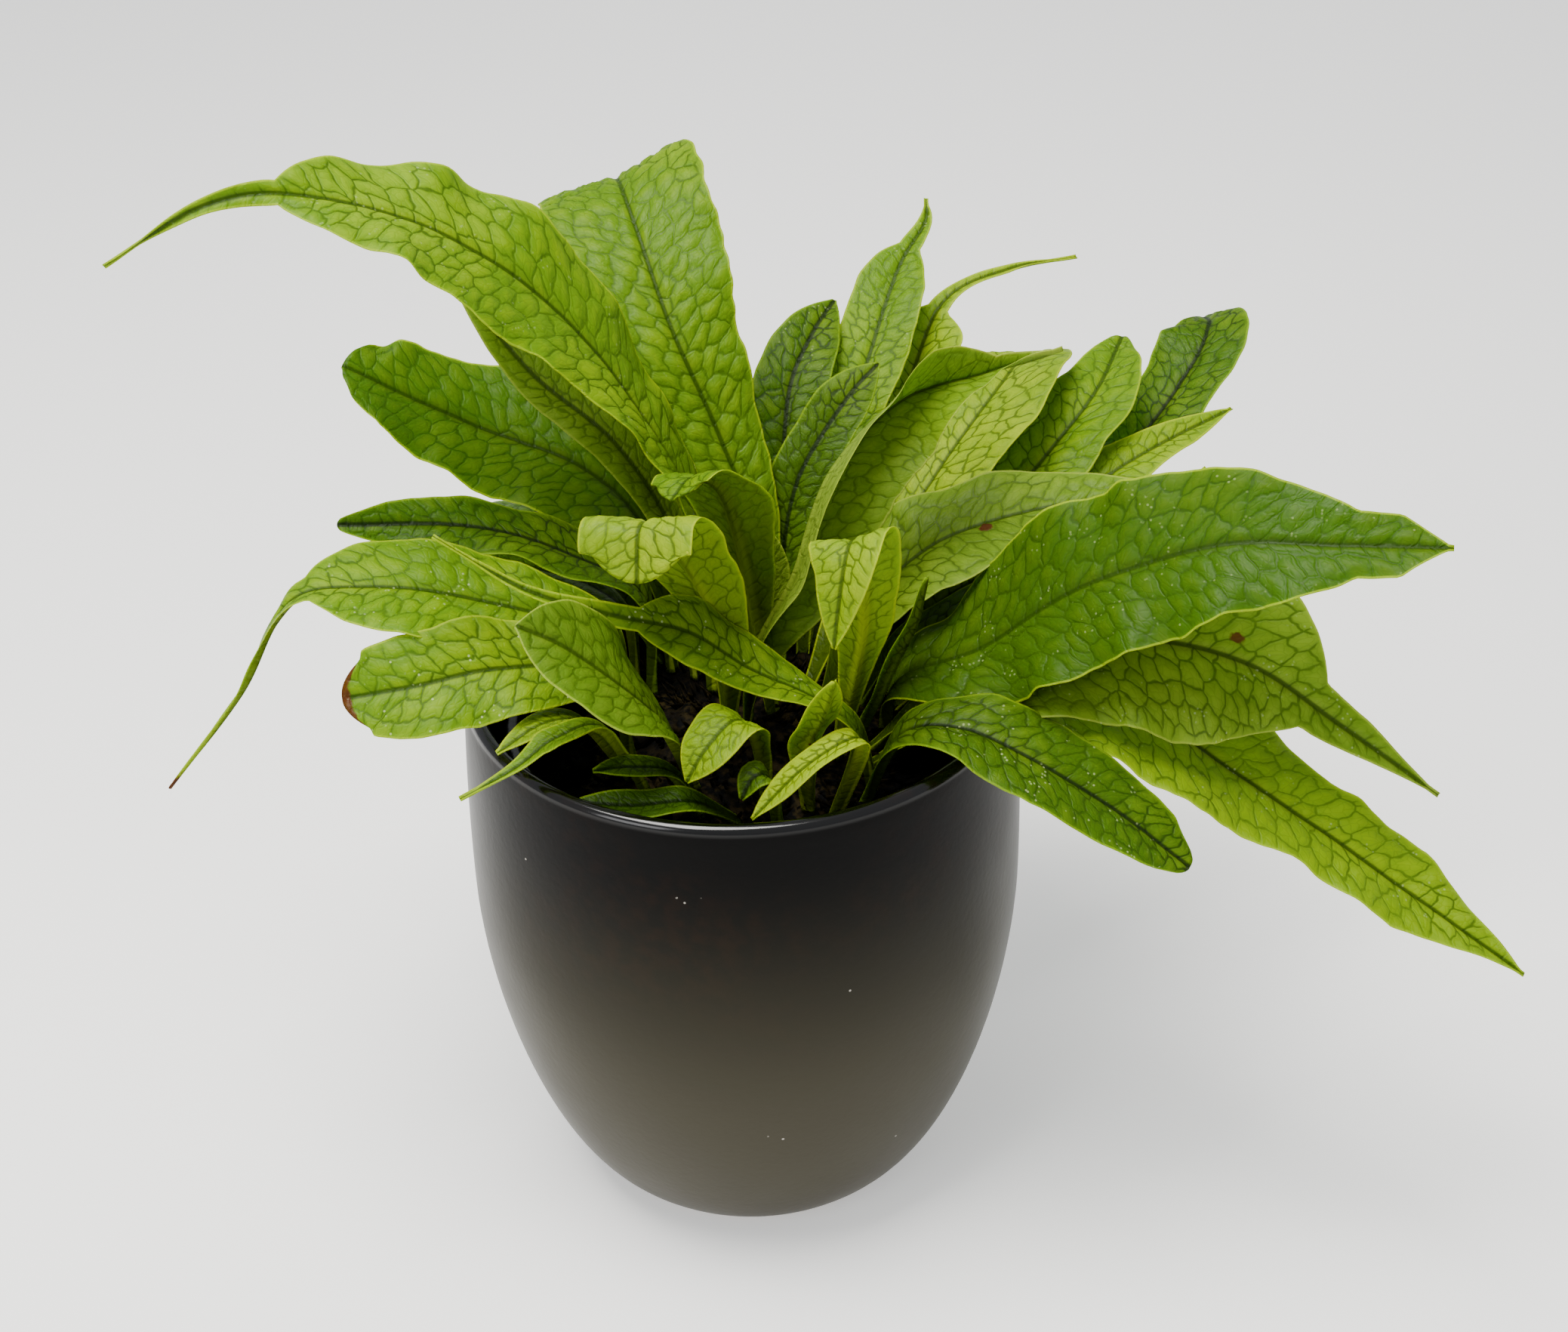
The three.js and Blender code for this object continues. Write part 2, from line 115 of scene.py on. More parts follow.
# Ceramic pot: thrown or slip-cast stoneware with a belly under a slightly drawn-in, rounded rim,
# under a satin black glaze inside and out that breaks to brown where it runs thin. It stands on a
# bare clay foot ring. Everything else stands inside it.
POT_HEIGHT = 0.188
RIM_RADIUS = 0.0875
BELLY_RADIUS = 0.090
BELLY_HEIGHT = 0.117
FOOT_RADIUS = 0.052
POT_WALL = 0.005
POT_FLOOR = 0.007
POT_STEPS = 128
RIM_STEPS = 10
FOOT_HOLLOW = 0.0016
FOOT_RING_WIDTH = 0.0085
FOOT_ROUNDING = 0.0012
INSIDE_CORNER = 0.003


def tint(red, green, blue):
    """A colour given as a painter's 0 to 255, as the linear numbers that a shader takes."""
    return tuple((part / 255) ** 2.2 for part in (red, green, blue)) + (1,)


def add_node(tree, kind, values=(), **settings):
    """Adds a node. Each value is a number or colour for that input, or the output that feeds it."""
    made = tree.nodes.new(kind)
    for name, value in settings.items():
        setattr(made, name, value)
    for key, value in dict(values).items():
        if isinstance(value, bpy.types.NodeSocket):
            tree.links.new(value, made.inputs[key])
        else:
            made.inputs[key].default_value = value
    return made


def maths(tree, operation, first, second=0.0):
    return add_node(tree, "ShaderNodeMath", {0: first, 1: second}, operation=operation).outputs[0]


def mixed(tree, share, plain, other):
    """One colour turning into another as share goes from 0 to 1."""
    return add_node(tree, "ShaderNodeMix", {0: share, 6: plain, 7: other}, data_type="RGBA").outputs[2]


def ramp(tree, value, start, end, low=0.0, high=1.0):
    """A number that goes smoothly from low to high as value goes from start to end."""
    return add_node(tree, "ShaderNodeMapRange", {0: value, 1: start, 2: end, 3: low, 4: high},
                    interpolation_type="SMOOTHSTEP").outputs[0]


def cloudy(tree, where, scale, detail=2.0):
    values = {"Vector": where, "Scale": scale, "Detail": detail}
    return add_node(tree, "ShaderNodeTexNoise", values).outputs[0]


def new_finish(name, **constants):
    """A material with the settings that are the same all over. Returns it, its tree and its shader."""
    finish = bpy.data.materials.new(name)
    finish.use_nodes = True
    shader = finish.node_tree.nodes["Principled BSDF"]
    for key, value in constants.items():
        shader.inputs[key.replace("_", " ").title().replace("Ior", "IOR")].default_value = value
    return finish, finish.node_tree, shader


def bumpy(tree, shader, height, distance, strength=1.0):
    made = add_node(tree, "ShaderNodeBump", {"Height": height, "Distance": distance, "Strength": strength})
    tree.links.new(made.outputs[0], shader.inputs["Normal"])


def finished(name, shape, finish, node):
    """Makes a smooth-shaded piece of a shape, attaches it to the root body and hides the CAD node it stands
    for.
    """
    mesh = bpy.data.meshes.new(name)
    shape.to_mesh(mesh)
    shape.free()
    mesh.shade_smooth()
    mesh.materials.append(finish)
    piece = bpy.data.objects.new(name, mesh)
    bpy.context.collection.objects.link(piece)
    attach(piece, "root")
    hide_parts(node)
    return piece


def turned(outline, steps):
    """A closed solid spun about the upright axis from an outline of (radius, height) points."""
    shape = bmesh.new()
    points = [shape.verts.new((radius, 0, height)) for radius, height in outline]
    edges = [shape.edges.new(pair) for pair in zip(points, points[1:])]
    bmesh.ops.spin(shape, geom=points + edges, axis=(0, 0, 1), angle=2 * math.pi, steps=steps,
                   use_merge=True)
    bmesh.ops.remove_doubles(shape, verts=shape.verts[:], dist=1e-5)
    bmesh.ops.recalc_face_normals(shape, faces=shape.faces[:])
    return shape


def bezier(controls, steps):
    """Points along a Bezier curve through two or more levels of straight mixing."""
    found = []
    for step in range(steps + 1):
        level = [np.array(point) for point in controls]
        while len(level) > 1:
            level = [a + (b - a) * step / steps for a, b in zip(level, level[1:])]
        found.append(tuple(level[0]))
    return found


def pot_side(inset):
    lower = bezier([(FOOT_RADIUS - inset, 0), (0.8 * BELLY_RADIUS - inset, 0.07 * BELLY_HEIGHT),
                    (BELLY_RADIUS - inset, 0.6 * BELLY_HEIGHT), (BELLY_RADIUS - inset, BELLY_HEIGHT)], 26)
    upper = bezier([(BELLY_RADIUS - inset, BELLY_HEIGHT),
                    (BELLY_RADIUS - inset, (BELLY_HEIGHT + POT_HEIGHT) / 2),
                    (RIM_RADIUS - inset, POT_HEIGHT - POT_WALL / 2)], 14)
    return lower + upper[1:]


rounded_rim = []
for step in range(1, RIM_STEPS):
    angle = math.pi * step / RIM_STEPS
    rounded_rim.append((RIM_RADIUS - POT_WALL / 2 + math.cos(angle) * POT_WALL / 2,
                        POT_HEIGHT - POT_WALL / 2 + math.sin(angle) * POT_WALL / 2))
inside = [(radius, height) for radius, height in pot_side(POT_WALL) if height > POT_FLOOR + 0.002]
ring_inside = FOOT_RADIUS - FOOT_RING_WIDTH
foot_ring = [(0, FOOT_HOLLOW), (ring_inside, FOOT_HOLLOW), (ring_inside + 0.002, FOOT_HOLLOW / 4),
             (ring_inside + 0.003, 0), (FOOT_RADIUS - FOOT_ROUNDING, 0),
             (FOOT_RADIUS + 0.0002, FOOT_ROUNDING / 2)]
inside_floor = [(inside[0][0] - INSIDE_CORNER, POT_FLOOR), (0, POT_FLOOR)]
pot_outline = foot_ring + pot_side(0)[1:] + rounded_rim + inside[::-1] + inside_floor

pot_glaze, tree, shader = new_finish("satin black glaze", specular_ior_level=0.06,
                                     coat_roughness=0.14)
spot = add_node(tree, "ShaderNodeTexCoord").outputs["Object"]
height = add_node(tree, "ShaderNodeSeparateXYZ", {0: spot}).outputs[2]
broad_clouds = cloudy(tree, spot, 14, 4)
fine_clouds = cloudy(tree, spot, 160, 3)
thin_glaze = maths(tree, "MULTIPLY", ramp(tree, broad_clouds, 0.42, 0.72),
                   ramp(tree, fine_clouds, 0.35, 0.7))
glaze_colour = mixed(tree, thin_glaze, tint(5, 3, 1), tint(24, 13, 5))
# Painted reflection: the glaze colour turns lighter towards the foot, standing in for the pale floor that
# the lower body reflects.
painted_floor_reflection = ramp(tree, height, 0.176, 0.07)
glaze_colour = mixed(tree, painted_floor_reflection, glaze_colour, tint(57, 54, 43))
clay_foot = ramp(tree, height, 0.0024, 0.0006)
glaze_colour = mixed(tree, clay_foot, glaze_colour, tint(120, 100, 80))
dust = add_node(tree, "ShaderNodeTexVoronoi", {"Vector": spot, "Scale": 150.0}).outputs["Distance"]
rare = ramp(tree, cloudy(tree, spot, 60, 0), 0.68, 0.72)
dust = maths(tree, "MULTIPLY", ramp(tree, dust, 0.08, 0.04), rare)
glaze_colour = mixed(tree, dust, glaze_colour, tint(170, 165, 155))
tree.links.new(glaze_colour, shader.inputs["Base Color"])
gloss = ramp(tree, broad_clouds, 0.3, 0.75, 0.3, 0.4)
gloss = maths(tree, "SUBTRACT", gloss, ramp(tree, height, 0.183, 0.187, 0.0, 0.16))
gloss = maths(tree, "ADD", gloss, maths(tree, "MULTIPLY", clay_foot, 0.45))
tree.links.new(gloss, shader.inputs["Roughness"])
tree.links.new(ramp(tree, height, 0.1845, 0.187, 0.0, 0.8), shader.inputs["Coat Weight"])
orange_peel = maths(tree, "ADD", cloudy(tree, spot, 420, 2), maths(tree, "MULTIPLY", broad_clouds, 2.0))
bumpy(tree, shader, orange_peel, 0.00005)
finished("glazed_pot", turned(pot_outline, POT_STEPS), pot_glaze, "pot")


# Nursery pot: thin black moulded plastic with a rolled lip, one drain hole and faint upright
# draw marks. It stands loose on the floor of the ceramic pot, its lip a little under the rim.
LIP_TOP = 0.171
LIP_RADIUS = 0.077
LIP_ROLL = 0.0024
NURSERY_RADIUS = 0.073
NURSERY_FOOT_RADIUS = 0.049
NURSERY_WALL = 0.0014
NURSERY_BASE = 0.0073
DRAIN_RADIUS = 0.008
LIP_SKIRT = 0.007
WAVY_TOP = 0.02
LIP_UNDERSIDE = 0.0056
WALL_STEPS = 8
ROLL_STEPS = 6

nursery_flare = NURSERY_RADIUS - NURSERY_FOOT_RADIUS
nursery_outline = [(DRAIN_RADIUS, NURSERY_BASE), (NURSERY_FOOT_RADIUS - 0.001, NURSERY_BASE),
                   (NURSERY_FOOT_RADIUS, NURSERY_BASE + 0.001)]
for step in range(1, WALL_STEPS + 1):
    share = step / WALL_STEPS
    nursery_outline.append((NURSERY_FOOT_RADIUS + nursery_flare * share,
                            NURSERY_BASE + (LIP_TOP - 0.0058 - NURSERY_BASE) * share))
nursery_outline += [(LIP_RADIUS - NURSERY_WALL, LIP_TOP - LIP_UNDERSIDE),
                    (LIP_RADIUS - NURSERY_WALL, LIP_TOP - LIP_SKIRT),
                    (LIP_RADIUS, LIP_TOP - LIP_SKIRT)]
for step in range(ROLL_STEPS + 1):
    angle = math.pi / 2 * step / ROLL_STEPS
    nursery_outline.append((LIP_RADIUS - LIP_ROLL + math.cos(angle) * LIP_ROLL,
                            LIP_TOP - LIP_ROLL + math.sin(angle) * LIP_ROLL))
inner_top = NURSERY_RADIUS - NURSERY_WALL
nursery_outline += [(inner_top + 0.0016, LIP_TOP), (inner_top + 0.0004, LIP_TOP - 0.0006),
                    (inner_top, LIP_TOP - 0.002)]
for step in range(1, WALL_STEPS + 1):
    share = 1 - step / WALL_STEPS
    nursery_outline.append((NURSERY_FOOT_RADIUS - NURSERY_WALL + nursery_flare * share,
                            NURSERY_BASE + NURSERY_WALL + (LIP_TOP - 0.004 - NURSERY_BASE) * share))
nursery_outline += [(DRAIN_RADIUS, NURSERY_BASE + NURSERY_WALL), (DRAIN_RADIUS, NURSERY_BASE)]

nursery_plastic, tree, shader = new_finish("moulded black plastic")
spot = add_node(tree, "ShaderNodeTexCoord").outputs["Object"]
dust = ramp(tree, cloudy(tree, spot, 90, 4), 0.5, 0.75)
tree.links.new(mixed(tree, dust, tint(5, 5, 5), tint(18, 16, 13)), shader.inputs["Base Color"])
tree.links.new(ramp(tree, dust, 0, 1, 0.26, 0.55), shader.inputs["Roughness"])
draw_marks = add_node(tree, "ShaderNodeMapping", {"Vector": spot, "Scale": (260, 260, 12)}).outputs[0]
bumpy(tree, shader, cloudy(tree, draw_marks, 1, 2), 0.0002)
nursery_shape = turned(nursery_outline, 96)
for vert in nursery_shape.verts:
    around = math.atan2(vert.co.y, vert.co.x)
    high = max(0, (vert.co.z - LIP_TOP + WAVY_TOP) / WAVY_TOP)
    vert.co.xy *= 1 + 0.006 * high * noise.noise((math.cos(around) * 2, math.sin(around) * 2, 3))
    vert.co.z += 0.0006 * high * noise.noise((math.cos(around) * 3, math.sin(around) * 3, 9))
finished("plastic_nursery_pot", nursery_shape, nursery_plastic, "nursery_pot")


# Potting mix: dark peat and composted bark, wet and settled, with a loose top of bark chips,
# coloured darker still as painted shade for the inside of the pot.
# It fills the nursery pot to a little under its lip.
MIX_TOP = 0.160
MIX_BASE = 0.009
CHIP_COUNT = 420
CHIP_LEAN = 0.6
MIX_STEPS = 72


def nursery_inside(height):
    share = (height - MIX_BASE) / (LIP_TOP - 0.001 - MIX_BASE)
    return NURSERY_FOOT_RADIUS + nursery_flare * share - NURSERY_WALL


def rough_bark_in_painted_shade(name, dark, pale, roughness):
    """Wet crumbly brown with paler broken faces, and near-black painted shade in the hollows
    between the crumbs.
    """
    finish, tree, shader = new_finish(name, roughness=roughness, specular_ior_level=0.08)
    spot = add_node(tree, "ShaderNodeTexCoord").outputs["Object"]
    crumbs = cloudy(tree, spot, 380, 5)
    lumps = cloudy(tree, spot, 75, 2)
    colour = mixed(tree, ramp(tree, lumps, 0.35, 0.68), dark, pale)
    # Painted shade: the low parts of the crumb bump turn near-black.
    colour = mixed(tree, ramp(tree, crumbs, 0.62, 0.4), colour, tint(1, 1, 1))
    tree.links.new(colour, shader.inputs["Base Color"])
    bumpy(tree, shader, crumbs, 0.0008)
    return finish


rng = random.Random(11)
outline = [(0, MIX_BASE), (nursery_inside(MIX_BASE) - 0.0004, MIX_BASE),
           (nursery_inside(MIX_TOP) - 0.0006, MIX_TOP - 0.001)]
outline += [(radius / 1000, MIX_TOP) for radius in range(68, 0, -3)] + [(0, MIX_TOP)]
mix_shape = turned(outline, MIX_STEPS)
for vert in mix_shape.verts:
    if vert.co.z > MIX_TOP - 0.0005 and vert.co.xy.length < 0.067:
        vert.co.z += 0.0016 * noise.noise(vert.co * 160) + 0.0012 * noise.noise(vert.co * 420)
for chip in range(CHIP_COUNT):
    around = rng.uniform(0, 2 * math.pi)
    out = 0.069 * math.sqrt(rng.uniform(0.35, 1)) - 0.002
    length = rng.uniform(0.003, 0.0058)
    width = length * rng.uniform(0.4, 0.8)
    size = Matrix.Diagonal((length, width, length * rng.uniform(0.18, 0.35), 1))
    lean = Matrix.Rotation(rng.uniform(-CHIP_LEAN, CHIP_LEAN), 4, "X")
    lean = lean @ Matrix.Rotation(rng.uniform(-CHIP_LEAN, CHIP_LEAN), 4, "Y")
    place = Matrix.Translation((out * math.cos(around), out * math.sin(around),
                                MIX_TOP + rng.uniform(0, 0.0028)))
    made = bmesh.ops.create_icosphere(mix_shape, subdivisions=1, radius=1,
                                      matrix=place @ Matrix.Rotation(around * 7, 4, "Z") @ lean @ size)
    for vert in made["verts"]:
        vert.co += Vector([rng.uniform(-0.0005, 0.0005) for axis in range(3)])
# Painted shade: the mix's colours are partly its own dark wet peat and partly painted shade, given darker
# for the inside of the pot.
mix_finish = rough_bark_in_painted_shade("wet bark mix in painted shade", tint(3, 2, 1), tint(13, 9, 5), 0.85)
finished("bark_mix", mix_shape, mix_finish, "potting_mix")


# Rhizome: creeping woody stems about 10 mm thick, knotted over the mix and covered in thin brown
# papery scales, their browns darkened as painted shade for the inside of the plant. The fronds'
# stalks rise from them.
RHIZOME_BASE = 0.1603
RHIZOME_RADIUS = 0.060
RHIZOME_HEIGHT = 0.010
RHIZOME_STEPS = 64
STEM_COUNT = 9
STEM_RADIUS = 0.0052
SCALE_COUNT = 620


def rhizome_rise(radius):
    return RHIZOME_HEIGHT * (1 - (radius / RHIZOME_RADIUS) ** 2)


rng = random.Random(5)
outline = [(0, RHIZOME_BASE), (0.0575, RHIZOME_BASE)]
outline += [(radius / 1000, RHIZOME_BASE + rhizome_rise(radius / 1000) - 0.001)
            for radius in range(57, 0, -3)]
rhizome_shape = turned(outline + [(0, RHIZOME_BASE + RHIZOME_HEIGHT - 0.001)], RHIZOME_STEPS)
for vert in rhizome_shape.verts:
    if vert.co.z > RHIZOME_BASE + 0.0005:
        vert.co.z += 0.0011 * noise.noise(vert.co * 130)
for stem in range(STEM_COUNT):
    heading = 2 * math.pi * stem / STEM_COUNT + rng.uniform(-0.25, 0.25)
    bend = rng.uniform(-0.012, 0.012)
    tube = bmesh.ops.create_grid(rhizome_shape, x_segments=14, y_segments=40, size=1)["verts"]
    for vert in tube:
        around, along = math.pi * (vert.co.x + 1), (vert.co.y + 1) / 2
        out = 0.006 + 0.046 * along
        aside = bend * math.sin(math.pi * along) + 0.002 * math.sin(9 * along + stem)
        centre = Vector((out * math.cos(heading) - aside * math.sin(heading),
                         out * math.sin(heading) + aside * math.cos(heading), 0))
        centre.z = RHIZOME_BASE + rhizome_rise(centre.length)
        thick = STEM_RADIUS * (1 - 0.25 * along) * min(1, 0.12 + 4 * (1 - along), 0.12 + 4 * along)
        thick *= 1 + 0.16 * math.sin(46 * along + 3 * math.sin(around))
        sideways = Vector((-math.sin(heading), math.cos(heading), 0))
        vert.co = centre + (sideways * math.cos(around) + Vector((0, 0, 0.7)) * math.sin(around)) * thick
for scale in range(SCALE_COUNT):
    around, out = rng.uniform(0, 2 * math.pi), 0.055 * math.sqrt(rng.uniform(0.02, 1))
    lean = Matrix.Rotation(rng.uniform(0.5, 1.3), 4, "Y") @ Matrix.Diagonal((0.0011, 0.0003, 0.0034, 1))
    place = Matrix.Translation((out * math.cos(around), out * math.sin(around),
                                RHIZOME_BASE + rhizome_rise(out) + rng.uniform(0.0005, 0.0042)))
    bmesh.ops.create_cone(rhizome_shape, cap_ends=True, segments=5, radius1=1, radius2=0.15, depth=1.6,
                          matrix=place @ Matrix.Rotation(around + rng.uniform(-0.8, 0.8), 4, "Z") @ lean)
bmesh.ops.remove_doubles(rhizome_shape, verts=rhizome_shape.verts[:], dist=1e-6)
bmesh.ops.recalc_face_normals(rhizome_shape, faces=rhizome_shape.faces[:])
# Painted shade: the rhizome's browns are given darker than its scales' own, for the shade inside the plant.
rhizome_finish = rough_bark_in_painted_shade("scaly rhizome in painted shade", tint(20, 16, 8), tint(50, 42, 22), 0.7)
finished("creeping_rhizome", rhizome_shape, rhizome_finish, "rhizome")


# Fronds: undivided straps of thin, leathery leaf. Each rises from the rhizome on a short channelled
# stalk and runs along a midrib that is sunk above and raised below. Between its net of dark veins
# the blade swells up into pale blisters, like crocodile hide, and its margin is thin, pale and wavy.
# Lengths in this section are in millimetres, from the centre of the pot's rim, until a blade's
# points are set.
MM = 0.001
STALK_HALF_WIDTH = 2.2
STALK_THICKNESS = 3.2
TIP_HALF_WIDTH = 0.8
TAIL_HALF_WIDTH = 4
FROND_FOLD = 7
FROND_SECTIONS = 20
MIDRIB_STEPS = 400
LEAST_ROWS = 12
ROW_LENGTH = 1.5
COLUMN_WIDTH = 1.45
BLADE_THICKNESS = 0.45
MARGIN_BAND = 0.45
WAVE_LENGTH = 31.0
CELL_SHARE = 0.72
MARGIN_NICKS = 0.07
MARGIN_DROOP = 0.05
GROOVE_DEPTH = 0.5
GROOVE_HALF_WIDTH = 1.1
THINNEST_RIB = 0.5


def smooth(value):
    value = min(max(value, 0.0), 1.0)
    return value * value * (3 - 2 * value)


def midrib_at(points, share):
    """The place and direction at a share of the way along a smooth line through the points."""
    last = len(points) - 1
    index = min(int(share * last), last - 1)
    part = share * last - index
    here, ahead = points[index], points[index + 1]
    before = points[index - 1] if index > 0 else 2 * here - ahead
    after = points[index + 2] if index + 2 <= last else 2 * ahead - here
    leave, reach = (ahead - before) / 2, (after - here) / 2
    square = 3 * (ahead - here) - 2 * leave - reach
    cube = 2 * (here - ahead) + leave + reach
    place = here + leave * part + square * part ** 2 + cube * part ** 3
    return place, (leave + 2 * square * part + 3 * cube * part ** 2).normalized()


def half_width(share, width, widest, tail, tail_width, blunt):
    """A stalk that widens into a blade, which narrows to a point, a blunt end or a thin tail."""
    if share < widest:
        return STALK_HALF_WIDTH + (width - STALK_HALF_WIDTH) * smooth(share / widest) ** 0.8
    blade_end = 1 - tail
    fall = min((share - widest) / (blade_end - widest), 1)
    blade = width * (1 - fall ** 2) ** 0.8 + width * blunt * fall ** 2
    tip = tail_width * (1 - (share - blade_end) / tail) if share > blade_end else 0
    return max(blade, tip, tail_width if fall < 1 and tail > 0 else 0, TIP_HALF_WIDTH)


def between(values, share):
    """A value read between values given at even steps."""
    place = share * (len(values) - 1)
    index = min(int(place), len(values) - 2)
    return values[index] + (values[index + 1] - values[index]) * smooth(place - index)


def frond_rows(base, spine, roll, facing):
    """Frames at even steps along the midrib: share, distance along, place, across and face."""
    foot = Vector((*base, (RHIZOME_BASE - POT_HEIGHT + rhizome_rise(math.hypot(*base) * MM)) / MM))
    points = [foot] + [Vector(point) for point in spine]
    leaving = points[-1] - foot
    heading = math.atan2(leaving.y, leaving.x) if facing is None else math.radians(facing)
    side, direction = Vector((math.sin(heading), -math.cos(heading), 0)), Vector((0, 0, 1))
    sides = [side.copy()]
    for section in range(1, FROND_SECTIONS + 1):
        ahead = midrib_at(points, section / FROND_SECTIONS)[1]
        side.rotate(direction.rotation_difference(ahead))
        direction = ahead
        sides.append(side.copy())
    fine = [midrib_at(points, step / MIDRIB_STEPS)[0] for step in range(MIDRIB_STEPS + 1)]
    run = np.concatenate([[0], np.cumsum([(b - a).length for a, b in zip(fine, fine[1:])])])
    count = max(int(run[-1] / ROW_LENGTH), LEAST_ROWS)
    rows = []
    for row in range(count + 1):
        along = run[-1] * row / count
        share = float(np.interp(along, run, np.linspace(0, 1, MIDRIB_STEPS + 1)))
        place, direction = midrib_at(points, share)
        section = min(int(share * FROND_SECTIONS), FROND_SECTIONS - 1)
        across = sides[section].lerp(sides[section + 1], share * FROND_SECTIONS - section)
        across = (across - direction * across.dot(direction)).normalized()
        across.rotate(Matrix.Rotation(-math.radians(between(roll, share)), 3, direction))
        rows.append((share, along, place, direction, across, across.cross(direction)))
    return rows


def add_frond(name, skin, base, spine, width, widest=0.58, tail=0.0, tail_width=TAIL_HALF_WIDTH,
              blunt=0.0, fold=FROND_FOLD, facing=None, roll=(0, 0), tone_and_light=0.0, cell=8.0, pucker=0.6,
              ruffle=1.0, specks=0.0, spots=(), burnt_tip=0.0):
    """One frond. Tone and light run from -1, dark, to 1, yellow: partly the frond's own colour and
    partly painted light, lighter on fronds that sit in shade. Cell is the size of its blisters, and
    spots are brown marks given as share along, share across and radius."""
    seed = len(frond_pieces)
    rows = frond_rows(base, spine, roll, facing)
    half = min(max(round(width / COLUMN_WIDTH), 5), 20)
    count = len(rows) - 1
    shape = bmesh.new()
    layers = {key: shape.verts.layers.float_vector.new(key) for key in ("place", "leaf", "look", "rise")}
    order = shape.verts.layers.int.new("order")
    bmesh.ops.create_grid(shape, x_segments=2 * half, y_segments=count, size=1)
    top = shape.verts[:]
    below = {}
    for number, vert in enumerate(top):
        column = round(vert.co.x * half)
        share, along, place, direction, across, face = rows[round((vert.co.y + 1) / 2 * count)]
        sign = math.copysign(1, column)
        reach = half_width(share, width, widest, tail, tail_width, blunt)
        nick = noise.noise((along / 17, sign * 5, seed * 3.1))
        nick += 0.5 * noise.noise((along / 6, sign * 7, seed))
        reach *= 1 + MARGIN_NICKS * nick * smooth(reach / 8)
        band = min(MARGIN_BAND, reach * 0.2)
        x = reach
        if abs(column) < half:
            x = (reach - band) * (abs(column) / (half - 1)) ** (1 + 0.3 * smooth(reach / 20))
        part, edge = x / reach, reach - x
        bend = math.radians(fold)
        leafy = smooth((share - 0.04) / 0.2)
        lift = x * math.sin(bend) * part ** 0.25 - MARGIN_DROOP * reach * part ** 4 * leafy
        swing = 2 * math.pi * along / WAVE_LENGTH + seed * 1.7 + sign * 1.1
        swing += 2.2 * noise.noise((along / 40, sign, seed))
        size = ruffle * (0.25 + 0.062 * reach)
        size *= 0.75 + 0.6 * noise.noise((along / 25, sign * 2, seed + 0.5))
        lift += size * part ** 1.7 * math.sin(swing) * leafy
        lift += ruffle * 0.035 * reach * noise.noise((along / 22, x * sign / 30, seed)) * leafy
        groove = GROOVE_DEPTH * math.exp(-(x / GROOVE_HALF_WIDTH) ** 2) * smooth((share - 0.08) / 0.12)
        point = place + across * (sign * x * math.cos(bend)) + face * (lift - groove)
        if blunt:
            point -= direction * (0.55 * reach * part ** 2 * smooth((share - 0.9) / 0.1))
        vert.co = (point + Vector((0, 0, POT_HEIGHT / MM))) * MM
        rib = (STALK_THICKNESS - THINNEST_RIB) * (1 - math.sqrt(share)) + THINNEST_RIB
        rib_spread = 1.2 + 0.9 * (1 - share)
        depth = BLADE_THICKNESS * (0.4 + 0.6 * smooth(edge / 1.5))
        depth += rib * math.exp(-(x / rib_spread) ** 2)
        below[number] = vert.co - face * (depth * MM)
        brown = smooth(1 - (1 - share) * rows[-1][1] / burnt_tip) if burnt_tip else 0.0
        for spot_share, spot_part, radius in spots:
            away = math.hypot(along - spot_share * rows[-1][1], sign * x - spot_part * width)
            brown = max(brown, 1 - away / radius)
        swell = pucker * smooth((edge - 0.3) / 4) * smooth((x - 0.4) / 2.5) * leafy * smooth(reach / 7)
        vert[layers["place"]] = (along * MM + 0.5 * seed, sign * x * MM, edge * MM)
        vert[layers["leaf"]] = (0, cell * CELL_SHARE * MM, share)
        vert[layers["look"]] = (tone_and_light, brown, specks)
        vert[layers["rise"]] = face * (swell * MM)
        vert[order] = number
    made = bmesh.ops.extrude_face_region(shape, geom=shape.faces[:], use_keep_orig=True)["geom"]
    layers = {key: shape.verts.layers.float_vector[key] for key in layers}
    order = shape.verts.layers.int["order"]
    for vert in [new for new in made if isinstance(new, bmesh.types.BMVert)]:
        vert.co = below[vert[order]]
        vert[layers["leaf"]] = (1, cell * CELL_SHARE * MM, vert[layers["leaf"]][2])
    bmesh.ops.recalc_face_normals(shape, faces=shape.faces[:])
    piece = finished(name + "_frond", shape, skins[skin], "frond_" + name)
    piece.modifiers.new("blisters", "NODES").node_group = blisters
    frond_pieces.append(piece)


def vectors(tree, operation, values):
    return add_node(tree, "ShaderNodeVectorMath", values, operation=operation).outputs[0]


